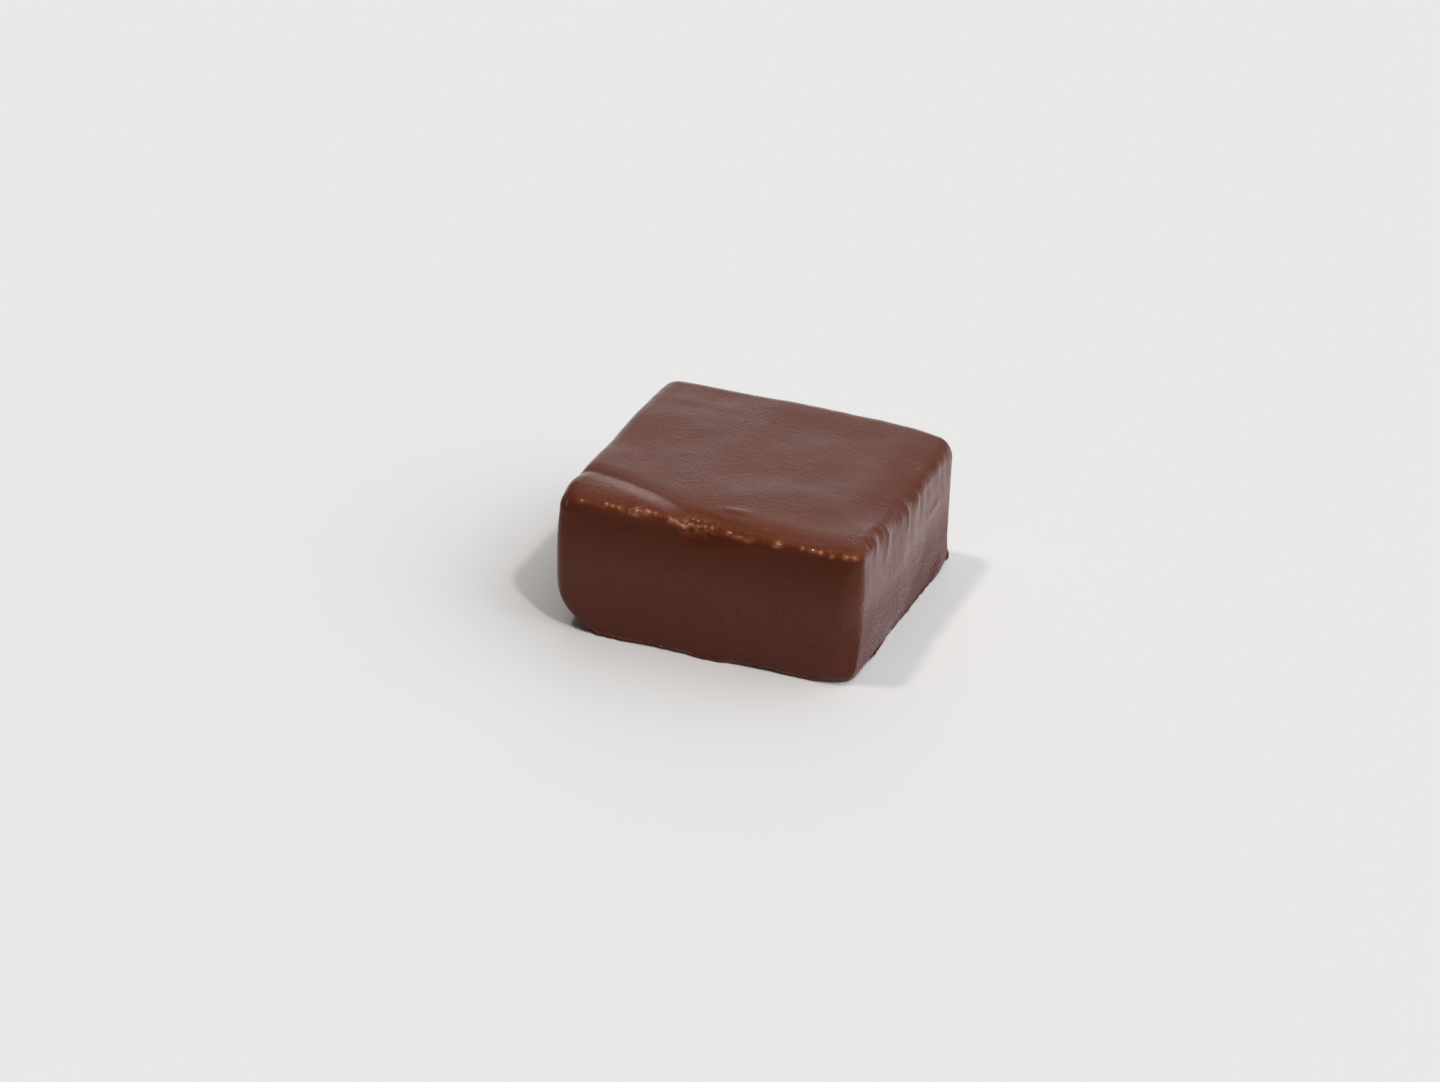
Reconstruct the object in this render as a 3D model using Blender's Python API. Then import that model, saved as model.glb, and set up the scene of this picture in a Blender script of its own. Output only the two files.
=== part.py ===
"""A brownie bite: one small block of brownie, dipped all round in chocolate.

Metres, +Z up. +X runs along the front edge, +Y goes to the back, and the origin is
the middle of the base, on the surface that the bite rests on. The coating hides the
brownie inside, so the bite is one closed solid. It is a cube cut into rows, laid out
as a rounded block, and then worked over by the functions below, one for each feature.
"""
import bmesh
import bpy
import numpy as np
from mathutils import Vector, noise

MM = 0.001

# Driving dimensions of the block.
HEIGHT = 15.1 * MM
TOP_WIDTH = 32.5 * MM
BASE_WIDTH = 31.7 * MM
TOP_DEPTH = 30.7 * MM
BACK_LEAN = 2.0 * MM        # how much further back the foot of the back face is than its top
TOP_SKEW = 0.65 * MM        # the right side is this much shorter at the front and at the back
HALF = np.array([TOP_WIDTH, TOP_DEPTH, HEIGHT]) / 2

# How the way a point faces, a unit vector, decides which features move it.
SIDE_GAIN = 1.6             # its sideways part times this, up to 1, is its share in a side's features
TOP_GAIN = 1.5              # the same for its upward part and the lip
SINK_FROM = -0.4            # with an upward part below this it doesn't sink with the top
UNDERSIDE = -0.5            # below this it keeps even
FLAT_BASE = -0.999          # below this it is on the flat base

# Rounding of the coating, by edge and by upper corner: the signs say which sides meet there,
# 0 is the run of the edge.
CORNER_PULL = 4.0           # how much more a corner's own radius counts than an edge's
FRONT_TOP = (0, -1, 1)
LEFT_TOP = (-1, 0, 1)
EDGE_RADII = {
    FRONT_TOP: 0.75 * MM,
    (0, 1, 1): 1.7 * MM,
    LEFT_TOP: 1.5 * MM,
    (1, 0, 1): 1.2 * MM,
    (-1, -1, 0): 1.3 * MM,
    (1, -1, 0): 2.5 * MM,
    (-1, 1, 0): 2.0 * MM,
    (1, 1, 0): 2.4 * MM,
    (0, -1, -1): 0.7 * MM,
    (0, 1, -1): 0.8 * MM,
    (-1, 0, -1): 0.8 * MM,
    (1, 0, -1): 0.7 * MM,
    (-1, -1, 1): 2.6 * MM,
    (1, -1, 1): 1.4 * MM,
    (-1, 1, 1): 2.4 * MM,
    (1, 1, 1): 2.0 * MM,
}
EDGE_BLEND = 1.5 * MM       # how softly one edge's rounding passes into the next

# Lower corners where the coating draws in: the way each cut faces, its depth and softness.
TUCKED_CORNERS = {
    (-1, -1): ((-0.66, -0.22, -0.72), 2.5 * MM, 0.55 * MM),
    (1, -1): ((0.45, -0.55, -0.70), 1.0 * MM, 0.45 * MM),
}
TUCK_TRIM = 0.004 * MM      # a cut this slight is none
FLAT_BELOW = 0.002 * MM     # what is left below this height is flat on the ground

# Slumps in the front edge, from left to right: start, end, softness of the start, extra rounding.
SLUMPS = (
    (-6.9 * MM, -3.0 * MM, 0.9 * MM, 0.4 * MM),
    (-3.6 * MM, 9.6 * MM, 1.8 * MM, 2.4 * MM),
    (11.6 * MM, 17.0 * MM, 1.5 * MM, 0.5 * MM),
)

# The top's droop to its right edge: how deep, its run across, where it starts and is whole.
DROOP_DEPTH = 1.1 * MM
DROOP_RUN = 5.5 * MM
DROOP_FRONT = -12.0 * MM
DROOP_WHOLE = -2.5 * MM
DROOP_EASE = 0.5            # the share that it loses again by the back edge

# The top's slow fall to its front edge.
BROW_DROP = 0.26 * MM
BROW_START = -11.6 * MM
BROW_RUN = 3.6 * MM
BROW_MOST = 1.2             # it falls no further beyond this many runs

# How far each side swells between its edges.
SWELL = {(-1, 0, 0): 0.25 * MM, (1, 0, 0): 0.15 * MM, (0, -1, 0): 0.35 * MM,
         (0, 1, 0): 0.30 * MM, (0, 0, 1): 0.10 * MM}

# The lip: a fold of coating across the front left of the top, with a dip behind it.
LIP_LEFT = -15.0 * MM
LIP_LENGTH = 13.0 * MM
LIP_START = -9.1 * MM       # its place on the left edge
LIP_SWEEP = 4.9 * MM        # how far it swings towards the front edge
LIP_BEND = 1.8
DIP_DEPTH = (0.24 * MM, 0.12 * MM)      # at the lip's left end and at its right end
DIP_RUN = 2.4 * MM
LIP_RISE = (0.24 * MM, 0.47 * MM)
LIP_WIDTH = (1.8 * MM, 3.4 * MM)
LIP_FALL = 0.20 * MM        # how far the lip drops again towards the front edge
LIP_FALL_RUN = 2.5          # over how many of its widths
LIP_FADE = (0.7, 1.2)       # the shares of its length where it starts to fade and would be gone
LIP_SOFTNESS = 1.4          # how softly the lip rises at its right end
LIP_SHOULDER = 0.2 * MM     # extra rounding of the left edge in front of the lip's start
SHOULDER_STEP = 0.5 * MM

# Scoops and runs in the right side's upper edge: Y, Z, half width, half height, outward.
FLUTES = (
    (-9.1, 14.2, 0.75, 0.90, -0.22),
    (-6.9, 13.7, 0.42, 1.20, 0.17),
    (-7.3, 12.2, 0.60, 1.30, 0.10),
    (-4.4, 14.1, 1.10, 0.90, -0.18),
    (-0.6, 13.3, 0.40, 1.60, 0.16),
    (1.1, 14.3, 0.80, 0.70, -0.10),
    (5.3, 13.8, 0.90, 1.20, -0.06),
    (8.4, 10.0, 1.60, 0.50, 0.12),
    (-3.0, 9.0, 3.00, 1.20, 0.08),
)

# Upright ripples where the coating ran down the sides: on the right side, and on the others.
RIPPLE_DEPTH = 0.05 * MM
QUIET_RIPPLE_DEPTH = 0.025 * MM
RIPPLE_SIZE = 1.5 * MM
RIPPLE_STRETCH = np.array([1.0, 1.0, 0.25])     # which makes them four times as long upright
RIPPLE_REACH = 9.0 * MM
RIPPLE_SEED = 4

# The foot that the coating made when it set on a flat sheet.
FOOT_FLARE = 0.28 * MM
FOOT_HEIGHT = 0.9 * MM
FOOT_SPREAD = (0.6, 1.2)    # its mean width and how much that varies, as shares of the flare
FOOT_SIZE = 3.0 * MM
FOOT_SEED = 8

# Slow unevenness of the whole coating.
UNEVEN_DEPTH = 0.08 * MM
UNEVEN_SIZE = 7.0 * MM
UNEVEN_SEED = 7

SEED_STEP = Vector((7.3, 3.1, 5.7))     # how far apart two seeds' random values lie
LEVEL = np.array([1.0, 1.0, 0.0])       # leaves out a point's height

# Notches in the front top edge: place along X, depth, half width, and how far they reach in.
NOTCHES = ((-8.6 * MM, 0.22 * MM, 0.7 * MM), (-2.9 * MM, 0.22 * MM, 0.8 * MM),
           (7.0 * MM, 0.15 * MM, 5.0 * MM))
NOTCH_REACH = 1.6 * MM

# Single swellings and dents: place, reach along each axis, height outward.
BUMPS = (
    ((1.9, -11.6, 15.1), (1.5, 0.55, 3.0), 0.10),
    ((-15.6, -11.4, 14.6), (1.4, 2.0, 2.0), 0.20),
    ((-16.2, -15.3, 14.2), (1.4, 1.6, 1.8), -0.26),
    ((-10.3, 10.0, 15.1), (5.5, 0.90, 3.0), 0.03),
    ((3.0, 15.4, 15.1), (10.0, 4.0, 3.0), 0.18),
    ((1.0, -15.6, 0.4), (1.6, 1.5, 0.8), 0.30),
    ((12.6, -15.2, 0.4), (1.6, 1.5, 0.8), 0.15),
    ((16.0, 10.5, 1.0), (2.0, 2.2, 1.4), 0.30),
    ((16.0, -3.0, 1.0), (2.0, 2.2, 1.4), -0.22),
)

# The coating's finish.
BROWN = (0.124, 0.032, 0.014)
ROUGHNESS = 0.42
IOR = 1.46

# Rows of faces along X, Y and Z, and how much closer they lie at the edges.
ROWS = (38, 36, 18)
ROW_PACKING = np.array([0.30, 0.45, 0.45])


def smooth(t):
    """0 below 0, 1 above 1, and an S curve between."""
    t = np.clip(t, 0.0, 1.0)
    return t * t * (3.0 - 2.0 * t)


def mound(t):
    """A smooth hump of height 1 at t = 0."""
    return np.exp(-t * t)


def waver(points, size, seed):
    """Smooth random values of about -0.5 to 0.5, one for each point."""
    return np.array([noise.noise(Vector(p) / size + seed * SEED_STEP) for p in points])


def cut_cube(rows):
    """A cube from -1 to 1 with its faces cut into rows across each axis."""
    mesh = bmesh.new()
    bmesh.ops.create_cube(mesh, size=2.0)
    for axis, count in enumerate(rows):
        along = [edge for edge in mesh.edges
                 if abs(edge.verts[0].co[axis] - edge.verts[1].co[axis]) > 1.0]
        bmesh.ops.subdivide_edges(mesh, edges=along, cuts=count - 1)
    return mesh


def slump(x):
    """The extra rounding of the front edge where the coating has slumped."""
    extra = np.zeros(len(x))
    for start, end, softness, radius in SLUMPS:
        extra += radius * smooth((x - start) / softness) * smooth((end - x) / (end - start))
    return extra


def shoulder(y):
    """The extra rounding of the left top edge in front of the lip's start."""
    return LIP_SHOULDER * smooth((LIP_START - y) / SHOULDER_STEP)


def edge_radius(q):
    """The rounding at each point of the cube, mixed from the edges that are near it."""
    total = np.zeros(len(q))
    radius = np.zeros(len(q))
    for sides, size in EDGE_RADII.items():
        across = np.array(sides) != 0
        gap = ((q - np.array(sides)) * HALF)[:, across]
        weight = 1.0 / (np.sum(gap * gap, axis=1) + EDGE_BLEND ** 2) ** 2
        weight *= CORNER_PULL if all(across) else 1.0
        if sides == FRONT_TOP:
            size = size + slump(q[:, 0] * HALF[0])
        elif sides == LEFT_TOP:
            size = size + shoulder(q[:, 1] * HALF[1])
        radius += weight * size
        total += weight
    return radius / total


def rounded_block(q):
    """The cube's points on a block with rounded edges, and the way each one faces."""
    radius = edge_radius(q)[:, None]
    outer = q * HALF
    inner = np.clip(outer, radius - HALF, HALF - radius)
    facing = outer - inner
    facing /= np.linalg.norm(facing, axis=1)[:, None]
    return inner + radius * facing, facing


def swell(q, facing):
    """Each side's outward bow, greatest at its middle."""
    amount = np.zeros(len(q))
    for sides, height in SWELL.items():
        axis = int(np.argmax(np.abs(sides)))
        others = [i for i in range(3) if i != axis]
        bow = np.prod(1.0 - q[:, others] ** 2, axis=1)
        amount += height * bow * np.clip(facing[:, axis] * sides[axis], 0.0, 1.0)
    return amount


def lip(points):
    """The height that the lip and the dip behind it add to the top."""
    x, y = points[:, 0], points[:, 1]
    t = np.clip((x - LIP_LEFT) / LIP_LENGTH, 0.0, 1.0)
    ahead = LIP_START - LIP_SWEEP * t ** LIP_BEND - y
    depth, rise, width = (a + (b - a) * t for a, b in (DIP_DEPTH, LIP_RISE, LIP_WIDTH))
    dip = depth * np.clip(1.0 + np.minimum(ahead, 0.0) / DIP_RUN, 0.0, 1.0) ** 2
    u = np.clip(ahead / width, 0.0, 1.0)
    back_up = rise * (1.5 * u - 0.5 * u ** 3 - LIP_SOFTNESS * t * u * (1.0 - u) ** 2)
    fall = LIP_FALL * smooth((ahead - width) / (LIP_FALL_RUN * width))
    start, end = LIP_FADE
    return smooth((end - t) / (end - start)) * (back_up * (ahead > 0.0) - dip - fall)


def droop(points):
    """How far the top sinks towards its right edge."""
    x, y = points[:, 0], points[:, 1]
    across = np.clip(1.0 - (HALF[0] - x) / DROOP_RUN, 0.0, 1.0) ** 2
    along = smooth((y - DROOP_FRONT) / (DROOP_WHOLE - DROOP_FRONT))
    return DROOP_DEPTH * across * along * (1.0 - DROOP_EASE * smooth((y - DROOP_WHOLE) / HALF[1]))


def brow(points):
    """How far the top falls to its front edge."""
    return BROW_DROP * np.clip((BROW_START - points[:, 1]) / BROW_RUN, 0.0, BROW_MOST) ** 2


def ripples(points, facing):
    """Upright ripples in the sides, strongest on the right, which die out lower down."""
    reach = smooth(1.0 - (HEIGHT - points[:, 2]) / RIPPLE_REACH)
    right = smooth(facing[:, 0] * SIDE_GAIN)
    others = smooth(np.maximum(-facing[:, 0], facing[:, 1]) * SIDE_GAIN)
    size = RIPPLE_DEPTH * right + QUIET_RIPPLE_DEPTH * others
    return 2.0 * size * waver(points * RIPPLE_STRETCH, RIPPLE_SIZE, RIPPLE_SEED) * reach


def flutes(points, facing):
    """The scoops and runs in the right side, outward."""
    amount = np.zeros(len(points))
    for back, up, half_width, half_height, height in FLUTES:
        along = (points[:, 1] / MM - back) / half_width
        down = (points[:, 2] / MM - up) / half_height
        amount += height * MM * mound(along) * mound(down)
    return amount * smooth(facing[:, 0] * SIDE_GAIN)


def foot(points, facing):
    """The uneven thin flange round the base."""
    low = smooth(1.0 - points[:, 2] / FOOT_HEIGHT)
    flat = np.hypot(facing[:, 0], facing[:, 1])
    mean, varies = FOOT_SPREAD
    spread = mean + varies * waver(points * LEVEL, FOOT_SIZE, FOOT_SEED)
    return FOOT_FLARE * spread * low * flat


def notches(points):
    """How far the front top edge drops at its notches."""
    from_edge = np.hypot(points[:, 1] + HALF[1], points[:, 2] - HEIGHT)
    drop = np.zeros(len(points))
    for place, depth, half_width in NOTCHES:
        drop += depth * mound((points[:, 0] - place) / half_width)
    return drop * mound(from_edge / NOTCH_REACH)


def bumps(points):
    """The single swellings and dents, outward."""
    amount = np.zeros(len(points))
    for place, reach, height in BUMPS:
        gap = (points / MM - np.array(place)) / np.array(reach)
        amount += height * MM * np.exp(-np.sum(gap * gap, axis=1))
    return amount


def tuck(points):
    """Draws the two lower corners in, each to a soft-edged slanting cut."""
    for (right, back), (facing, depth, softness) in TUCKED_CORNERS.items():
        facing = np.array(facing) / np.linalg.norm(facing)
        corner = np.array([right * BASE_WIDTH / 2, back * TOP_DEPTH / 2, 0.0])
        beyond = (points - corner) @ facing + depth
        inward = softness * np.logaddexp(0.0, beyond / softness)
        points -= facing * np.maximum(inward - TUCK_TRIM, 0.0)[:, None]


def taper(points):
    """Narrows the block to its base, leans the back face and skews the right side."""
    up = points[:, 2] / HEIGHT
    right = points[:, 0] / TOP_WIDTH
    back = points[:, 1] / TOP_DEPTH
    points[:, 0] *= (BASE_WIDTH + (TOP_WIDTH - BASE_WIDTH) * up) / TOP_WIDTH
    points[:, 1] += BACK_LEAN * (1.0 - up) * (0.5 + back)
    points[:, 1] -= 2.0 * TOP_SKEW * right * back


def shape(q):
    """Where each point of the cut cube lies on the finished bite."""
    q = q + ROW_PACKING * np.sin(np.pi * q) / np.pi
    points, facing = rounded_block(q)
    points[:, 2] += HEIGHT / 2
    out = swell(q, facing) + foot(points, facing)
    out += ripples(points, facing) + flutes(points, facing) + bumps(points)
    out += 2.0 * UNEVEN_DEPTH * waver(points, UNEVEN_SIZE, UNEVEN_SEED) * (facing[:, 2] > UNDERSIDE)
    out[facing[:, 2] < FLAT_BASE] = 0.0
    rise = lip(points) * smooth(facing[:, 2] * TOP_GAIN) - notches(points)
    rise -= (droop(points) + brow(points)) * smooth(1.0 - facing[:, 2] / SINK_FROM)
    points += facing * out[:, None]
    points[:, 2] += rise
    taper(points)
    tuck(points)
    points[points[:, 2] < FLAT_BELOW, 2] = 0.0
    middle = (points.min(axis=0) + points.max(axis=0)) / 2
    points[:, :2] -= middle[:2]
    return points


def chocolate():
    """Satin milk chocolate."""
    material = bpy.data.materials.new("chocolate_coating")
    material.use_nodes = True
    shader = material.node_tree.nodes["Principled BSDF"]
    shader.inputs["Base Color"].default_value = (*BROWN, 1.0)
    shader.inputs["Roughness"].default_value = ROUGHNESS
    shader.inputs["Metallic"].default_value = 0.0
    shader.inputs["IOR"].default_value = IOR
    return material


def brownie_bite():
    """The bite as one mesh object, with its flat base left as a single face."""
    cage = cut_cube(ROWS)
    placed = shape(np.array([vert.co[:] for vert in cage.verts]))
    for vert, place in zip(cage.verts, placed):
        vert.co = place
    base = [face for face in cage.faces if all(vert.co.z == 0.0 for vert in face.verts)]
    bmesh.ops.dissolve_faces(cage, faces=base)
    mesh = bpy.data.meshes.new("brownie_bite")
    cage.to_mesh(mesh)
    cage.free()
    mesh.shade_smooth()
    mesh.materials.append(chocolate())
    return bpy.data.objects.new("brownie_bite", mesh)


def main():
    for old in list(bpy.data.objects):
        bpy.data.objects.remove(old)
    part = bpy.data.collections.new("Brownie bite")
    bpy.context.scene.collection.children.link(part)
    part.objects.link(brownie_bite())


main()
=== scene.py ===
"""The looks of the brownie bite: its fine chocolate surface, a pale studio and the camera.

Metres, +Z up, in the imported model's frame: +X along the front edge, +Y to the back.
"""
import math

import bmesh
import bpy
import numpy as np
from mathutils import Matrix, Vector, noise


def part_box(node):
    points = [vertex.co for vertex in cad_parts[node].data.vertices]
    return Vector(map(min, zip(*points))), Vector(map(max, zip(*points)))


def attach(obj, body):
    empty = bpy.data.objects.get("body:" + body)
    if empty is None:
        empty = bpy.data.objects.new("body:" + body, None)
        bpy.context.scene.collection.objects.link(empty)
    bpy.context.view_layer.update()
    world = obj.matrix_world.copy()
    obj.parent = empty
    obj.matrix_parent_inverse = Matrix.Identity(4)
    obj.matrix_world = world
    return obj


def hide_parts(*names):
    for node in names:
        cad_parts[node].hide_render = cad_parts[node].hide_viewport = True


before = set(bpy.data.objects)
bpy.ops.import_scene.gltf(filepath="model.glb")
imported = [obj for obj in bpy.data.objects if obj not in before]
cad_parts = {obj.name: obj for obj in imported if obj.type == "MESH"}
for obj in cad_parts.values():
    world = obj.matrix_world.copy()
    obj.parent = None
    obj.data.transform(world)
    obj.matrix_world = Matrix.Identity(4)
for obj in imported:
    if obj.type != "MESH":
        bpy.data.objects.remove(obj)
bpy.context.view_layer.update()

MM = 0.001
NODE = "brownie_bite"

# ---------------------------------------------------------------- sizes of the block

HEIGHT = 15.1 * MM
TOP_WIDTH = 32.5 * MM
BASE_WIDTH = 31.7 * MM
TOP_DEPTH = 30.7 * MM
BACK_LEAN = 2.0 * MM        # how much further back the foot of the back face is than its top
TOP_SKEW = 0.65 * MM        # the right side is this much shorter at the front and at the back
HALF = np.array([TOP_WIDTH, TOP_DEPTH, HEIGHT]) / 2

# How the way a point faces, a unit vector, decides which features move it.
SIDE_GAIN = 1.6             # its sideways part times this, up to 1, is its share in a side's features
TOP_GAIN = 1.5              # the same for its upward part and the lip
SINK_FROM = -0.4            # with an upward part below this it doesn't sink with the top
UNDERSIDE = -0.5            # below this it keeps even
FLAT_BASE = -0.999          # below this it is on the flat base

# Rounding of the coating, by edge and by upper corner: the signs say which sides meet there,
# 0 is the run of the edge.
CORNER_PULL = 4.0           # how much more a corner's own radius counts than an edge's
FRONT_TOP = (0, -1, 1)
LEFT_TOP = (-1, 0, 1)
EDGE_RADII = {
    FRONT_TOP: 0.75 * MM,
    (0, 1, 1): 1.7 * MM,
    LEFT_TOP: 1.5 * MM,
    (1, 0, 1): 1.2 * MM,
    (-1, -1, 0): 1.3 * MM,
    (1, -1, 0): 2.5 * MM,
    (-1, 1, 0): 2.0 * MM,
    (1, 1, 0): 2.4 * MM,
    (0, -1, -1): 0.7 * MM,
    (0, 1, -1): 0.8 * MM,
    (-1, 0, -1): 0.8 * MM,
    (1, 0, -1): 0.7 * MM,
    (-1, -1, 1): 2.6 * MM,
    (1, -1, 1): 1.4 * MM,
    (-1, 1, 1): 2.4 * MM,
    (1, 1, 1): 2.0 * MM,
}
EDGE_BLEND = 1.5 * MM       # how softly one edge's rounding passes into the next

# Lower corners where the coating draws in: the way each cut faces, its depth and softness.
TUCKED_CORNERS = {
    (-1, -1): ((-0.66, -0.22, -0.72), 2.5 * MM, 0.55 * MM),
    (1, -1): ((0.45, -0.55, -0.70), 1.0 * MM, 0.45 * MM),
}
TUCK_TRIM = 0.004 * MM      # a cut this slight is none
FLAT_BELOW = 0.002 * MM     # what is left below this height is flat on the ground

# Slumps in the front edge, from left to right: start, end, softness of the start, extra rounding.
SLUMPS = (
    (-6.9 * MM, -3.0 * MM, 0.9 * MM, 0.4 * MM),
    (-3.6 * MM, 9.6 * MM, 1.8 * MM, 2.4 * MM),
    (11.6 * MM, 17.0 * MM, 1.5 * MM, 0.5 * MM),
)

# The top's droop to its right edge: how deep, its run across, where it starts and is whole.
DROOP_DEPTH = 1.1 * MM
DROOP_RUN = 5.5 * MM
DROOP_FRONT = -12.0 * MM
DROOP_WHOLE = -2.5 * MM
DROOP_EASE = 0.5            # the share that it loses again by the back edge

# The top's slow fall to its front edge.
BROW_DROP = 0.26 * MM
BROW_START = -11.6 * MM
BROW_RUN = 3.6 * MM
BROW_MOST = 1.2             # it falls no further beyond this many runs

# How far each side swells between its edges.
SWELL = {(-1, 0, 0): 0.25 * MM, (1, 0, 0): 0.15 * MM, (0, -1, 0): 0.35 * MM,
         (0, 1, 0): 0.30 * MM, (0, 0, 1): 0.10 * MM}

# The lip: a fold of coating across the front left of the top, with a dip behind it.
LIP_LEFT = -15.0 * MM
LIP_LENGTH = 13.0 * MM
LIP_START = -9.1 * MM       # its place on the left edge
LIP_SWEEP = 4.9 * MM        # how far it swings towards the front edge
LIP_BEND = 1.8
DIP_DEPTH = (0.24 * MM, 0.12 * MM)      # at the lip's left end and at its right end
DIP_RUN = 2.4 * MM
LIP_RISE = (0.24 * MM, 0.47 * MM)
LIP_WIDTH = (1.8 * MM, 3.4 * MM)
LIP_FALL = 0.20 * MM        # how far the lip drops again towards the front edge
LIP_FALL_RUN = 2.5          # over how many of its widths
LIP_FADE = (0.7, 1.2)       # the shares of its length where it starts to fade and would be gone
LIP_SOFTNESS = 1.4          # how softly the lip rises at its right end
LIP_SHOULDER = 0.2 * MM     # extra rounding of the left edge in front of the lip's start
SHOULDER_STEP = 0.5 * MM

# Scoops and runs in the right side's upper edge, in mm: Y, Z, half width, half height, outward.
FLUTES = (
    (-12.1, 14.7, 0.40, 0.50, -0.20),
    (-10.7, 13.9, 0.30, 1.10, 0.09),
    (-9.1, 14.2, 0.75, 0.90, -0.22),
    (-6.9, 13.7, 0.42, 1.20, 0.17),
    (-7.3, 12.2, 0.60, 1.30, 0.10),
    (-4.4, 14.1, 1.10, 0.90, -0.18),
    (-2.4, 14.2, 0.30, 0.60, 0.07),
    (-0.6, 13.3, 0.40, 1.60, 0.16),
    (1.1, 14.3, 0.80, 0.70, -0.10),
    (2.6, 13.9, 0.45, 0.90, 0.09),
    (5.3, 13.8, 0.90, 1.20, -0.06),
    (8.4, 10.0, 1.60, 0.50, 0.12),
    (-3.0, 9.0, 3.00, 1.20, 0.08),
)

# Upright ripples where the coating ran down the sides: on the right side, and on the others.
RIPPLE_DEPTH = 0.05 * MM
QUIET_RIPPLE_DEPTH = 0.025 * MM
RIPPLE_SIZE = 1.5 * MM
RIPPLE_STRETCH = np.array([1.0, 1.0, 0.25])     # which makes them four times as long upright
RIPPLE_REACH = 9.0 * MM
RIPPLE_SEED = 4

# The foot that the coating made when it set on a flat sheet.
FOOT_FLARE = 0.28 * MM
FOOT_HEIGHT = 0.9 * MM
FOOT_SPREAD = (0.6, 1.2)    # its mean width and how much that varies, as shares of the flare
FOOT_SIZE = 3.0 * MM
FOOT_SEED = 8
RAG_SIZE = 0.9 * MM         # finer unevenness of the foot
RAG_SHARE = 1.3
RAG_SEED = 17

# Slow unevenness of the whole coating.
UNEVEN_DEPTH = 0.08 * MM
UNEVEN_SIZE = 7.0 * MM
UNEVEN_SEED = 7

SEED_STEP = Vector((7.3, 3.1, 5.7))     # how far apart two seeds' random values lie
LEVEL = np.array([1.0, 1.0, 0.0])       # leaves out a point's height

# ---------------------------------------------------------------- fine relief of the coating

# The crest: a low uneven seam of set chocolate along the front top edge, with small knobbles.
SEAM_FACING = -0.02         # it keeps to what faces further to the front than this
CREST_ANGLE = 48.0          # where it lies round the edge, in degrees up from the front
CREST_SPREAD = 24.0
CREST_HEIGHT = 0.02 * MM
CREST_SIZE = 1.7 * MM       # the length of its ups and downs
CREST_STRETCH = np.array([1.0, 0.3, 0.3])       # which keeps them nearly the same across it
CREST_SEED = 21
CREST_END = 15.6 * MM
KNOBBLE_HEIGHT = 0.03 * MM
KNOBBLE_SIZE = 0.60 * MM
KNOBBLE_SEED = 33
# Beads on the crest, in mm and degrees: place along X, angle up from the front, height, half
# widths along and up.
BEADS = (
    (-13.4, 57, 0.11, 0.22, 0.20), (-10.7, 60, 0.16, 0.26, 0.22), (-10.0, 57, 0.14, 0.24, 0.20),
    (-9.3, 56, 0.08, 0.22, 0.20), (-8.1, 45, 0.12, 0.24, 0.22), (-7.4, 42, 0.18, 0.50, 0.40),
    (-6.3, 48, 0.20, 0.42, 0.26), (-5.4, 49, 0.12, 0.26, 0.22), (-3.7, 40, 0.19, 0.40, 0.24),
    (-2.5, 41, 0.18, 0.32, 0.26), (-1.9, 47, 0.14, 0.24, 0.24), (-1.3, 44, 0.17, 0.28, 0.30),
    (-0.5, 49, 0.10, 0.24, 0.22), (0.3, 48, 0.11, 0.30, 0.24), (2.2, 44, 0.07, 0.40, 0.22),
    (3.3, 37, 0.06, 0.60, 0.20), (4.4, 30, 0.06, 0.50, 0.20), (7.5, 31, 0.30, 0.48, 0.40),
    (10.1, 34, 0.13, 0.26, 0.22), (11.2, 31, 0.07, 0.50, 0.18), (12.0, 30, 0.17, 0.30, 0.24),
    (13.2, 28, 0.07, 0.30, 0.20), (14.6, 36, 0.17, 0.38, 0.22), (15.4, 41, 0.17, 0.30, 0.22),
)
BEAD_FOOT = 24.0            # the beads fade out between this many degrees and the front face
# Crumbly stretches of the crest: place along X and half width in mm, and how crumbly.
CRUMB_RUNS = ((-10.2, 1.6, 0.5), (-6.9, 1.5, 1.0), (-3.6, 0.7, 0.7), (-1.4, 1.9, 1.0),
              (4.0, 3.0, 0.25), (13.5, 2.5, 0.3))
CRUMB_ANGLE = 47.0
CRUMB_SPREAD = 17.0
CRUMB_SIZE = 0.42 * MM
CRUMB_CONTRAST = 2.6
CRUMB_SEED = 12
CRUMB_HEIGHT = 0.10 * MM
CRUMB_GLOSS = 0.70          # how far the crumbs take on the beads' finish
# Notches in the crest: place along X, depth, half width.
CREST_NOTCHES = ((-8.6 * MM, 0.22 * MM, 0.7 * MM), (-2.9 * MM, 0.22 * MM, 0.8 * MM),
                 (7.0 * MM, 0.15 * MM, 5.0 * MM))
NOTCH_REACH = 1.6 * MM

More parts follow.
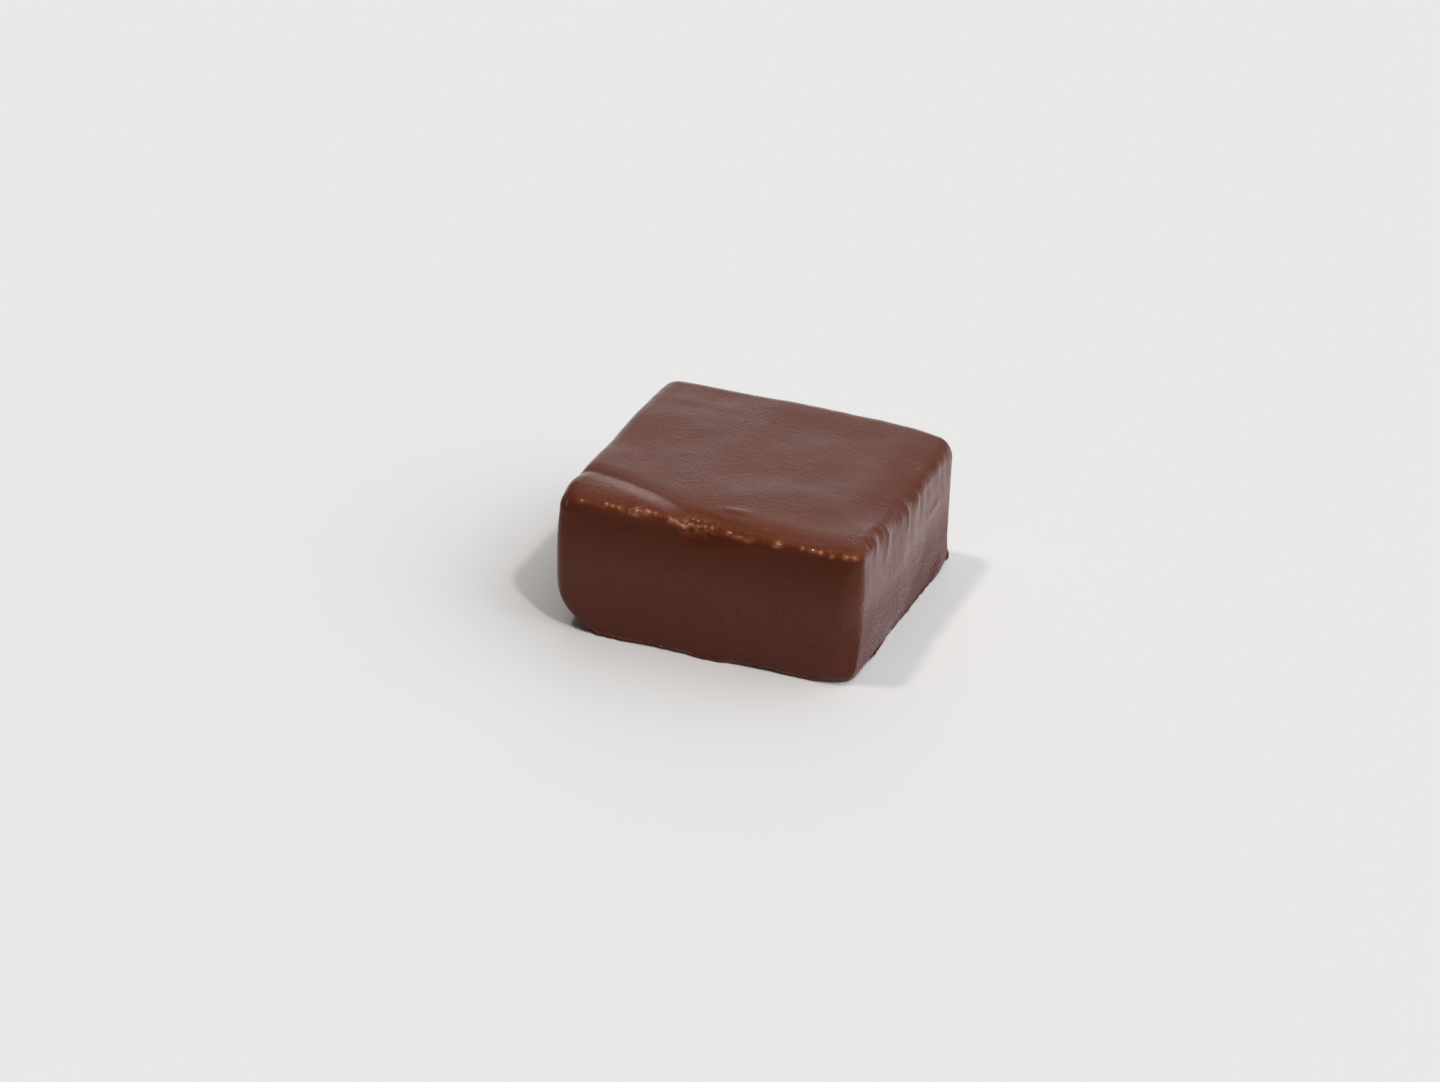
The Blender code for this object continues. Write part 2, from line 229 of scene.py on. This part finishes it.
# Single swellings and dents, in mm: place, reach along each axis, height outward.
BUMPS = (
    ((1.9, -11.6, 15.1), (1.5, 0.55, 3.0), 0.10),
    ((-15.6, -11.4, 14.6), (1.4, 2.0, 2.0), 0.20),
    ((-16.2, -15.3, 14.2), (1.4, 1.6, 1.8), -0.26),
    ((5.9, -14.0, 14.8), (0.7, 0.30, 3.0), 0.06),
    ((-10.3, 10.0, 15.1), (5.5, 0.90, 3.0), 0.03),
    ((3.0, 15.4, 15.1), (10.0, 4.0, 3.0), 0.18),
    ((-8.7, -15.7, 13.4), (0.50, 2.0, 0.50), -0.16),
    ((2.6, -15.6, 10.0), (0.14, 1.0, 0.14), 0.07),
    ((1.0, -15.6, 0.4), (1.6, 1.5, 0.8), 0.30),
    ((12.6, -15.2, 0.4), (1.6, 1.5, 0.8), 0.15),
    ((16.0, 10.5, 1.0), (2.0, 2.2, 1.4), 0.30),
    ((16.0, -3.0, 1.0), (2.0, 2.2, 1.4), -0.22),
    ((15.6, 13.9, 0.4), (1.2, 0.8, 0.5), 0.42),
)

# Slight waves of the whole coating.
WAVE_DEPTH = 0.014 * MM
WAVE_SIZE = 2.6 * MM
WAVE_SEED = 5

ROWS = (170, 160, 70)       # rows of faces along X, Y and Z
ROW_PACKING = np.array([0.20, 0.45, 0.45])      # how much closer they lie at the edges
CREST_BAND = 0.16           # how far from the front top edge the rows are halved, in cube units


def smooth(t):
    """0 below 0, 1 above 1, and an S curve between."""
    t = np.clip(t, 0.0, 1.0)
    return t * t * (3.0 - 2.0 * t)


def mound(t):
    """A smooth hump of height 1 at t = 0."""
    return np.exp(-t * t)


def waver(points, size, seed):
    """Smooth random values of about -0.5 to 0.5, one for each point."""
    return np.array([noise.noise(Vector(p) / size + seed * SEED_STEP) for p in points])


def cut_cube(rows):
    """A cube from -1 to 1 with its faces cut into rows across each axis."""
    mesh = bmesh.new()
    bmesh.ops.create_cube(mesh, size=2.0)
    for axis, count in enumerate(rows):
        along = [edge for edge in mesh.edges
                 if abs(edge.verts[0].co[axis] - edge.verts[1].co[axis]) > 1.0]
        bmesh.ops.subdivide_edges(mesh, edges=along, cuts=count - 1)
    return mesh


def halve_rows(mesh):
    """Cuts the rows near the front top edge in two, where the relief is finest."""
    near = [face for face in mesh.faces
            if min(v.co.y for v in face.verts) < CREST_BAND - 1.0
            and max(v.co.z for v in face.verts) > 1.0 - 2.0 * CREST_BAND]
    edges = {edge for face in near for edge in face.edges}
    bmesh.ops.subdivide_edges(mesh, edges=list(edges), cuts=1, use_grid_fill=True)


def slump(x):
    """The extra rounding of the front edge where the coating has slumped."""
    extra = np.zeros(len(x))
    for start, end, softness, radius in SLUMPS:
        extra += radius * smooth((x - start) / softness) * smooth((end - x) / (end - start))
    return extra


def shoulder(y):
    """The extra rounding of the left top edge in front of the lip's start."""
    return LIP_SHOULDER * smooth((LIP_START - y) / SHOULDER_STEP)


def edge_radius(q):
    """The rounding at each point of the cube, mixed from the edges that are near it."""
    total = np.zeros(len(q))
    radius = np.zeros(len(q))
    for sides, size in EDGE_RADII.items():
        across = np.array(sides) != 0
        gap = ((q - np.array(sides)) * HALF)[:, across]
        weight = 1.0 / (np.sum(gap * gap, axis=1) + EDGE_BLEND ** 2) ** 2
        weight *= CORNER_PULL if all(across) else 1.0
        if sides == FRONT_TOP:
            size = size + slump(q[:, 0] * HALF[0])
        elif sides == LEFT_TOP:
            size = size + shoulder(q[:, 1] * HALF[1])
        radius += weight * size
        total += weight
    return radius / total


def rounded_block(q):
    """The cube's points on a block with rounded edges, and the way each one faces."""
    radius = edge_radius(q)[:, None]
    outer = q * HALF
    inner = np.clip(outer, radius - HALF, HALF - radius)
    facing = outer - inner
    facing /= np.linalg.norm(facing, axis=1)[:, None]
    return inner + radius * facing, facing


def swell(q, facing):
    """Each side's outward bow, greatest at its middle."""
    amount = np.zeros(len(q))
    for sides, height in SWELL.items():
        axis = int(np.argmax(np.abs(sides)))
        others = [i for i in range(3) if i != axis]
        bow = np.prod(1.0 - q[:, others] ** 2, axis=1)
        amount += height * bow * np.clip(facing[:, axis] * sides[axis], 0.0, 1.0)
    return amount


def lip(points):
    """The height that the lip and the dip behind it add to the top."""
    x, y = points[:, 0], points[:, 1]
    t = np.clip((x - LIP_LEFT) / LIP_LENGTH, 0.0, 1.0)
    ahead = LIP_START - LIP_SWEEP * t ** LIP_BEND - y
    depth, rise, width = (a + (b - a) * t for a, b in (DIP_DEPTH, LIP_RISE, LIP_WIDTH))
    dip = depth * np.clip(1.0 + np.minimum(ahead, 0.0) / DIP_RUN, 0.0, 1.0) ** 2
    u = np.clip(ahead / width, 0.0, 1.0)
    back_up = rise * (1.5 * u - 0.5 * u ** 3 - LIP_SOFTNESS * t * u * (1.0 - u) ** 2)
    fall = LIP_FALL * smooth((ahead - width) / (LIP_FALL_RUN * width))
    start, end = LIP_FADE
    return smooth((end - t) / (end - start)) * (back_up * (ahead > 0.0) - dip - fall)


def droop(points):
    """How far the top sinks towards its right edge."""
    x, y = points[:, 0], points[:, 1]
    across = np.clip(1.0 - (HALF[0] - x) / DROOP_RUN, 0.0, 1.0) ** 2
    along = smooth((y - DROOP_FRONT) / (DROOP_WHOLE - DROOP_FRONT))
    return DROOP_DEPTH * across * along * (1.0 - DROOP_EASE * smooth((y - DROOP_WHOLE) / HALF[1]))


def brow(points):
    """How far the top falls to its front edge."""
    return BROW_DROP * np.clip((BROW_START - points[:, 1]) / BROW_RUN, 0.0, BROW_MOST) ** 2


def ripples(points, facing):
    """Upright ripples in the sides, strongest on the right, which die out lower down."""
    reach = smooth(1.0 - (HEIGHT - points[:, 2]) / RIPPLE_REACH)
    right = smooth(facing[:, 0] * SIDE_GAIN)
    others = smooth(np.maximum(-facing[:, 0], facing[:, 1]) * SIDE_GAIN)
    size = RIPPLE_DEPTH * right + QUIET_RIPPLE_DEPTH * others
    return 2.0 * size * waver(points * RIPPLE_STRETCH, RIPPLE_SIZE, RIPPLE_SEED) * reach


def flutes(points, facing):
    """The scoops and runs in the right side, outward."""
    amount = np.zeros(len(points))
    for back, up, half_width, half_height, height in FLUTES:
        along = (points[:, 1] / MM - back) / half_width
        down = (points[:, 2] / MM - up) / half_height
        amount += height * MM * mound(along) * mound(down)
    return amount * smooth(facing[:, 0] * SIDE_GAIN)


def foot(points, facing):
    """The uneven thin flange round the base."""
    low = smooth(1.0 - points[:, 2] / FOOT_HEIGHT)
    flat = np.hypot(facing[:, 0], facing[:, 1])
    mean, varies = FOOT_SPREAD
    spread = mean + varies * waver(points * LEVEL, FOOT_SIZE, FOOT_SEED)
    spread += RAG_SHARE * waver(points * LEVEL, RAG_SIZE, RAG_SEED)
    return FOOT_FLARE * spread * low * flat


def round_edge(facing):
    """How far up from the front each point faces, in degrees."""
    return np.degrees(np.arctan2(facing[:, 2], -facing[:, 1]))


def near_seam(facing, angle, spread):
    """How near each point lies to that angle round the front top edge, 0 to 1."""
    return mound((round_edge(facing) - angle) / spread) * (facing[:, 1] < SEAM_FACING)


def crest(points, facing):
    """The seam along the front top edge, outward."""
    on_edge = near_seam(facing, CREST_ANGLE, CREST_SPREAD)
    on_edge *= smooth((CREST_END - np.abs(points[:, 0])) / CREST_SIZE)
    run = 0.5 + waver(points * CREST_STRETCH, CREST_SIZE, CREST_SEED)
    knobbles = np.clip(waver(points, KNOBBLE_SIZE, KNOBBLE_SEED), 0.0, 1.0)
    return on_edge * (CREST_HEIGHT * run + 2.0 * KNOBBLE_HEIGHT * knobbles)


def crumbs(points, facing):
    """The crumbly stretches of the seam, 0 to 1 at each point."""
    reach = np.zeros(len(points))
    for place, half_width, amount in CRUMB_RUNS:
        reach += amount * mound((points[:, 0] / MM - place) / half_width)
    grains = smooth(0.5 + CRUMB_CONTRAST * waver(points, CRUMB_SIZE, CRUMB_SEED))
    return near_seam(facing, CRUMB_ANGLE, CRUMB_SPREAD) * reach * grains


def beads(points, facing, radius):
    """Each bead's nearness, 0 to 1, and height at every point."""
    near = np.zeros(len(points))
    height = np.zeros(len(points))
    on_edge = smooth(round_edge(facing) / BEAD_FOOT) * (facing[:, 1] < SEAM_FACING)
    for place, angle, rise, along, up in BEADS:
        across = np.radians(round_edge(facing) - angle) * radius / MM
        gap = ((points[:, 0] / MM - place) / along) ** 2 + (across / up) ** 2
        bead = np.exp(-gap) * on_edge
        near += bead
        height += rise * MM * bead
    return np.minimum(near, 1.0), height


def notches(points):
    """How far the front top edge drops at its notches."""
    from_edge = np.hypot(points[:, 1] + HALF[1], points[:, 2] - HEIGHT)
    drop = np.zeros(len(points))
    for place, depth, half_width in CREST_NOTCHES:
        drop += depth * mound((points[:, 0] - place) / half_width)
    return drop * mound(from_edge / NOTCH_REACH)


def bumps(points):
    """The single swellings and dents, outward."""
    amount = np.zeros(len(points))
    for place, reach, height in BUMPS:
        gap = (points / MM - np.array(place)) / np.array(reach)
        amount += height * MM * np.exp(-np.sum(gap * gap, axis=1))
    return amount


def tuck(points):
    """Draws the two lower corners in, each to a soft-edged slanting cut."""
    for (right, back), (facing, depth, softness) in TUCKED_CORNERS.items():
        facing = np.array(facing) / np.linalg.norm(facing)
        corner = np.array([right * BASE_WIDTH / 2, back * TOP_DEPTH / 2, 0.0])
        beyond = (points - corner) @ facing + depth
        inward = softness * np.logaddexp(0.0, beyond / softness)
        points -= facing * np.maximum(inward - TUCK_TRIM, 0.0)[:, None]


def taper(points):
    """Narrows the block to its base, leans the back face and skews the right side."""
    up = points[:, 2] / HEIGHT
    right = points[:, 0] / TOP_WIDTH
    back = points[:, 1] / TOP_DEPTH
    points[:, 0] *= (BASE_WIDTH + (TOP_WIDTH - BASE_WIDTH) * up) / TOP_WIDTH
    points[:, 1] += BACK_LEAN * (1.0 - up) * (0.5 + back)
    points[:, 1] -= 2.0 * TOP_SKEW * right * back


def shape(q):
    """Where each point of the cut cube lies on the bite, and how far it has the beads' finish."""
    q = q + ROW_PACKING * np.sin(np.pi * q) / np.pi
    points, facing = rounded_block(q)
    points[:, 2] += HEIGHT / 2
    out = swell(q, facing) + foot(points, facing)
    out += ripples(points, facing) + flutes(points, facing)
    out += 2.0 * UNEVEN_DEPTH * waver(points, UNEVEN_SIZE, UNEVEN_SEED) * (facing[:, 2] > UNDERSIDE)
    glossy, bead_height = beads(points, facing, edge_radius(q))
    grains = crumbs(points, facing)
    glossy = np.maximum(glossy, CRUMB_GLOSS * grains)
    out += crest(points, facing) + CRUMB_HEIGHT * grains + bead_height + bumps(points)
    out += 2.0 * WAVE_DEPTH * waver(points, WAVE_SIZE, WAVE_SEED)
    out[facing[:, 2] < FLAT_BASE] = 0.0
    rise = lip(points) * smooth(facing[:, 2] * TOP_GAIN) - notches(points)
    rise -= (droop(points) + brow(points)) * smooth(1.0 - facing[:, 2] / SINK_FROM)
    points += facing * out[:, None]
    points[:, 2] += rise
    taper(points)
    tuck(points)
    points[points[:, 2] < FLAT_BELOW, 2] = 0.0
    return points, glossy


def place_on_node(points):
    """Moves the points so that their box has the same middle as the node's."""
    low, high = (np.array(corner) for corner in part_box(NODE))
    shift = (low + high) / 2 - (points.min(axis=0) + points.max(axis=0)) / 2
    points[:, :2] += shift[:2]
    return points


def coated_bite():
    """The bite's fine mesh, with its flat base left as a single face."""
    cage = cut_cube(ROWS)
    halve_rows(cage)
    placed, glossy = shape(np.array([vert.co[:] for vert in cage.verts]))
    layer = cage.verts.layers.float.new(BEAD_LAYER)
    for vert, place, gloss in zip(cage.verts, place_on_node(placed), glossy):
        vert.co = place
        vert[layer] = gloss
    base = [face for face in cage.faces if all(vert.co.z == 0.0 for vert in face.verts)]
    bmesh.ops.dissolve_faces(cage, faces=base)
    mesh = bpy.data.meshes.new("coated_bite")
    cage.to_mesh(mesh)
    cage.free()
    mesh.shade_smooth()
    mesh.materials.append(chocolate())
    piece = bpy.data.objects.new("coated_bite", mesh)
    bpy.context.collection.objects.link(piece)
    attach(piece, "root")
    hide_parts(NODE)


# ---------------------------------------------------------------- the chocolate

BROWN = (0.104, 0.0260, 0.0108)
BROWN_LIGHT = (0.143, 0.0382, 0.0172)
CLOUD_SHARE = 0.35          # of the marbling that is in soft clouds, not in fine specks

# Where the top passes into the front and into the right side.
FRONT = (-14.0 * MM, -15.0 * MM)
RIGHT = (14.0 * MM, 15.5 * MM)
# Painted shade under the crest, a darker band: where it starts and ends, in height.
CREST_SHADE_BELOW = (14.4 * MM, 13.7 * MM)
CREST_SHADE_ABOVE = (8.0 * MM, 11.5 * MM)
CREST_SHADE_TONE = (0.80, 0.61, 0.46)
# Painted sheen on the plain front below that: a greyer, bluer tone.
FRONT_SHEEN_BELOW = (12.0 * MM, 8.5 * MM)
FRONT_SHEEN_TONE = (0.96, 1.09, 1.60)
# Painted highlight on the strip of the top along the front edge: a little lighter and redder.
STRIP_BEFORE = (-9.5 * MM, -13.0 * MM)
STRIP_ABOVE = (13.8 * MM, 14.6 * MM)
STRIP_HIGHLIGHT_TONE = (1.14, 1.05, 0.86)
# The right side is duller towards its foot, and painted shade darkens it there.
FOOT_BELOW = (8.2 * MM, 4.2 * MM)
FOOT_DULL = 0.40
FOOT_SHADE_TONE = (0.84, 0.76, 0.72)

# What is the same all over the coating: its gloss, the coat that only the beads have, and the
# sheen, a faint milky bloom at grazing angles.
FINISH = {
    "IOR": 1.50,
    "Specular IOR Level": 0.40,
    "Specular Tint": (1.0, 0.74, 0.62),
    "Coat Roughness": 0.16,
    "Coat IOR": 1.60,
    "Sheen Weight": 0.76,
    "Sheen Roughness": 0.27,
    "Sheen Tint": (0.96, 0.83, 0.92),
}
ROUGHNESS = (0.26, 0.36)    # in the glossiest and in the dullest patches
# The front top edge is duller than that: by how much, and where it sets in.
EDGE_DULL = 0.22
EDGE_BEFORE = (-13.9 * MM, -15.1 * MM)
EDGE_ABOVE = (11.0 * MM, 13.0 * MM)

# The beads' finish is kept with the mesh: the name it has there, and where their coat starts.
BEAD_LAYER = "bead"
# The beads' colour: lighter crumbs of chocolate, and partly a painted glint.
BEAD_CRUMB_AND_GLINT_TONE = (0.300, 0.115, 0.052)
BEAD_COAT = (0.35, 0.70)

PIT_DEPTH = 0.026 * MM
GRAIN_DEPTH = 0.052 * MM
GRAIN_STRENGTH = (0.25, 1.0)            # in the smoothest and in the roughest patches
RIGHT_GRAIN = 3.2           # how many times as strong it is on the right side
RIGHT_GRAIN_FROM = (13.5 * MM, 15.5 * MM)

# The noise textures: scale, detail and roughness.
CLOUDS = (160.0, 3.0, 0.55)
SPECKS = (3000.0, 2.0, 0.60)
GLOSS_PATCHES = (700.0, 4.0, 0.60)
PITS = (1500.0, 3.0, 0.60)
GRAIN = (3400.0, 2.0, 0.50)
GRAIN_PATCHES = (130.0, 2.0, 0.50)
MOST_NOISE = (0.3, 0.7)     # nearly all of a texture's values lie in here
MID_NOISE = (0.42, 0.62)    # and the middle ones in here


def feed(tree, value, socket):
    """Links another node's output to the socket, or sets a number or a colour there."""
    if isinstance(value, bpy.types.NodeSocket):
        tree.links.new(value, socket)
    elif isinstance(value, tuple):
        socket.default_value = (*value, 1.0)
    else:
        socket.default_value = value


def node(tree, kind, inputs, **properties):
    """A new shader node with its properties set and its named inputs fed."""
    made = tree.nodes.new(kind)
    for name, value in properties.items():
        setattr(made, name, value)
    for name, value in inputs.items():
        feed(tree, value, made.inputs[name])
    return made


def ramp(tree, value, span, low=0.0, high=1.0):
    """A clamped straight ramp from low to high while the value goes through the span."""
    start, end = span
    inputs = {"Value": value, "From Min": start, "From Max": end, "To Min": low, "To Max": high}
    return node(tree, "ShaderNodeMapRange", inputs).outputs["Result"]


def result(tree, operation, *values):
    """The result of a math node on numbers and other nodes' outputs."""
    made = node(tree, "ShaderNodeMath", {}, operation=operation)
    for value, socket in zip(values, made.inputs):
        feed(tree, value, socket)
    return made.outputs["Value"]


def mixed(tree, share, one, other, blend_type="MIX"):
    """Two colours mixed, or multiplied, as far as the share goes."""
    inputs = {"Factor": share, "A": one, "B": other}
    made = node(tree, "ShaderNodeMix", inputs, data_type="RGBA", blend_type=blend_type)
    return made.outputs["Result"]


def noise_texture(tree, place, texture):
    """A noise texture's value at each place."""
    scale, detail, roughness = texture
    inputs = {"Vector": place, "Scale": scale, "Detail": detail, "Roughness": roughness}
    return node(tree, "ShaderNodeTexNoise", inputs).outputs["Fac"]


def marbling(tree, place):
    """Brown that varies in soft clouds and in fine specks."""
    specks = ramp(tree, noise_texture(tree, place, SPECKS), MOST_NOISE, high=1.0 - CLOUD_SHARE)
    share = result(tree, "MULTIPLY_ADD", noise_texture(tree, place, CLOUDS), CLOUD_SHARE, specks)
    return mixed(tree, share, BROWN, BROWN_LIGHT)


def tints(tree, colour, at, low_right):
    """The colour, with painted shade under the crest and at the right foot, painted front sheen and a
    painted highlight on the strip.
    """
    to_front = ramp(tree, at["Y"], FRONT)
    crest_shade = result(tree, "MULTIPLY", ramp(tree, at["Z"], CREST_SHADE_BELOW), ramp(tree, at["Z"], CREST_SHADE_ABOVE))
    crest_shade = result(tree, "MULTIPLY", crest_shade, to_front)
    plain = result(tree, "MULTIPLY", ramp(tree, at["Z"], FRONT_SHEEN_BELOW), to_front)
    strip = result(tree, "MULTIPLY", ramp(tree, at["Y"], STRIP_BEFORE), ramp(tree, at["Z"], STRIP_ABOVE))
    for share, tone in ((crest_shade, CREST_SHADE_TONE), (plain, FRONT_SHEEN_TONE), (strip, STRIP_HIGHLIGHT_TONE),
                        (low_right, FOOT_SHADE_TONE)):
        colour = mixed(tree, share, colour, tone, "MULTIPLY")
    return colour


def roughness(tree, place, at, low_right):
    """Patches of satin, duller at the front top edge and at the right side's foot."""
    satin = ramp(tree, noise_texture(tree, place, GLOSS_PATCHES), MOST_NOISE, *ROUGHNESS)
    edge = ramp(tree, at["Y"], EDGE_BEFORE, high=EDGE_DULL)
    satin = result(tree, "MULTIPLY_ADD", edge, ramp(tree, at["Z"], EDGE_ABOVE), satin)
    return result(tree, "MULTIPLY_ADD", low_right, FOOT_DULL, satin)


def relief(tree, place, at):
    """Fine pits, and over them a grain that is strong in patches and on the right side."""
    pits = {"Height": noise_texture(tree, place, PITS), "Distance": PIT_DEPTH}
    pitted = node(tree, "ShaderNodeBump", pits).outputs["Normal"]
    patchy = ramp(tree, noise_texture(tree, place, GRAIN_PATCHES), MID_NOISE, *GRAIN_STRENGTH)
    more = ramp(tree, at["X"], RIGHT_GRAIN_FROM, 1.0, RIGHT_GRAIN)
    grain = {"Height": noise_texture(tree, place, GRAIN), "Distance": GRAIN_DEPTH,
             "Strength": result(tree, "MULTIPLY", patchy, more), "Normal": pitted}
    return node(tree, "ShaderNodeBump", grain).outputs["Normal"]


def chocolate():
    """Satin milk chocolate: faint marbling, uneven gloss, a fine set grain, and painted shade, sheen and
    highlights.
    """
    material = bpy.data.materials.new("chocolate_coating")
    material.use_nodes = True
    tree = material.node_tree
    place = node(tree, "ShaderNodeTexCoord", {}).outputs["Object"]
    at = node(tree, "ShaderNodeSeparateXYZ", {"Vector": place}).outputs
    low_right = result(tree, "MULTIPLY", ramp(tree, at["Z"], FOOT_BELOW), ramp(tree, at["X"], RIGHT))
    on_bead = node(tree, "ShaderNodeAttribute", {}, attribute_name=BEAD_LAYER).outputs["Fac"]
    colour = mixed(tree, on_bead, marbling(tree, place), BEAD_CRUMB_AND_GLINT_TONE)
    inputs = {
        **FINISH,
        "Base Color": tints(tree, colour, at, low_right),
        "Roughness": roughness(tree, place, at, low_right),
        "Coat Weight": ramp(tree, on_bead, BEAD_COAT),
        "Normal": relief(tree, place, at),
    }
    for name, value in inputs.items():
        feed(tree, value, tree.nodes["Principled BSDF"].inputs[name])
    return material


# ---------------------------------------------------------------- studio and camera

FLOOR_SIZE = 6.0
FLOOR_TONE = 0.80
FLOOR_ROUGHNESS = 0.9
FLOOR_GAP = 0.01 * MM

# The key light, above and to the right of the front.
KEY_TOWARDS = (0.457, -0.361, 0.813)
KEY_STRENGTH = 0.60
KEY_ANGLE = 4.0
KEY_TONE = (1.02, 0.99, 0.94)

# A small light above and to the left, which the beads on the crest reflect.
GLINT_TOWARDS = (-0.303, -0.140, 0.943)
GLINT_STRENGTH = 0.50
GLINT_ANGLE = 6.0
GLINT_TONE = (1.08, 0.97, 0.86)

# Soft lights: degrees round from the front to the right, degrees up, how narrow, strength.
SOFT_LIGHTS = (
    (65.0, 10.0, 14.0, 0.34),
    (110.0, 10.0, 14.0, 0.50),
    (155.0, 10.0, 14.0, 0.22),
    (200.0, 10.0, 20.0, 1.20),
    (20.0, 48.0, 10.0, 0.12),
    (80.0, 48.0, 10.0, 1.68),
    (140.0, 48.0, 10.0, 1.00),
    (200.0, 48.0, 10.0, 0.52),
    (20.0, 88.0, 10.0, 0.34),
)
FILL = 0.04
SKY_TONE = (0.970, 1.0, 1.035)

CAMERA_AZIMUTH = 19.94      # degrees round from the front, to the right
CAMERA_ELEVATION = 27.48
CAMERA_ROLL = 2.44
CAMERA_DISTANCE = 455.6 * MM
CAMERA_AIM = (-4.5 * MM, 0.5 * MM, 4.3 * MM)
LENS = 110.06               # in mm, in front of a sensor 36 mm wide
NEAR_LIMIT = 10.0 * MM


def floor():
    """A wide plain floor just below the bite."""
    mesh = bpy.data.meshes.new("floor")
    grid = bmesh.new()
    bmesh.ops.create_grid(grid, x_segments=1, y_segments=1, size=FLOOR_SIZE / 2)
    grid.to_mesh(mesh)
    grid.free()
    material = bpy.data.materials.new("pale_floor")
    material.use_nodes = True
    shader = material.node_tree.nodes["Principled BSDF"]
    shader.inputs["Base Color"].default_value = (FLOOR_TONE, FLOOR_TONE, FLOOR_TONE, 1.0)
    shader.inputs["Roughness"].default_value = FLOOR_ROUGHNESS
    shader.inputs["Specular IOR Level"].default_value = 0.0
    mesh.materials.append(material)
    piece = bpy.data.objects.new("floor", mesh)
    piece.location.z = -FLOOR_GAP
    bpy.context.collection.objects.link(piece)


def towards(azimuth, elevation):
    """The way to a point so many degrees round from the front to the right, and up."""
    turn, up = math.radians(azimuth), math.radians(elevation)
    return Vector((math.sin(turn) * math.cos(up), -math.cos(turn) * math.cos(up), math.sin(up)))


def sun(name, direction, strength, angle, tone):
    """A distant light so many degrees across, from the given direction."""
    light = bpy.data.lights.new(name, "SUN")
    light.energy = strength
    light.color = tone
    light.angle = math.radians(angle)
    lamp = bpy.data.objects.new(name, light)
    lamp.rotation_mode = "QUATERNION"
    lamp.rotation_quaternion = Vector(direction).to_track_quat("Z", "Y")
    bpy.context.collection.objects.link(lamp)


def studio_light():
    """Soft lights round the back and the right, a low fill, and a small key light."""
    world = bpy.data.worlds.new("studio")
    bpy.context.scene.world = world
    world.use_nodes = True
    tree = world.node_tree
    place = node(tree, "ShaderNodeTexCoord", {}).outputs["Generated"]
    total = FILL
    for azimuth, elevation, narrowness, strength in SOFT_LIGHTS:
        aim = node(tree, "ShaderNodeVectorMath", {}, operation="DOT_PRODUCT")
        tree.links.new(place, aim.inputs[0])
        aim.inputs[1].default_value = towards(azimuth, elevation)
        ahead = result(tree, "MAXIMUM", aim.outputs["Value"], 0.0)
        lobe = result(tree, "POWER", ahead, narrowness)
        total = result(tree, "MULTIPLY_ADD", lobe, strength, total)
    feed(tree, total, tree.nodes["Background"].inputs["Strength"])
    feed(tree, SKY_TONE, tree.nodes["Background"].inputs["Color"])

    sun("key", KEY_TOWARDS, KEY_STRENGTH, KEY_ANGLE, KEY_TONE)
    sun("glint", GLINT_TOWARDS, GLINT_STRENGTH, GLINT_ANGLE, GLINT_TONE)


def camera():
    """The view that the photograph has of the bite."""
    back = towards(CAMERA_AZIMUTH, CAMERA_ELEVATION)
    lens = bpy.data.cameras.new("camera")
    lens.lens = LENS
    lens.clip_start = NEAR_LIMIT
    view = bpy.data.objects.new("camera", lens)
    turn = back.to_track_quat("Z", "Y").to_matrix() @ Matrix.Rotation(math.radians(CAMERA_ROLL), 3, "Z")
    view.matrix_world = Matrix.Translation(Vector(CAMERA_AIM) + back * CAMERA_DISTANCE) @ turn.to_4x4()
    bpy.context.collection.objects.link(view)
    bpy.context.scene.camera = view


camera()
coated_bite()
floor()
studio_light()
bpy.context.scene.view_settings.view_transform = "Standard"
bpy.context.scene.view_settings.look = "Medium High Contrast"
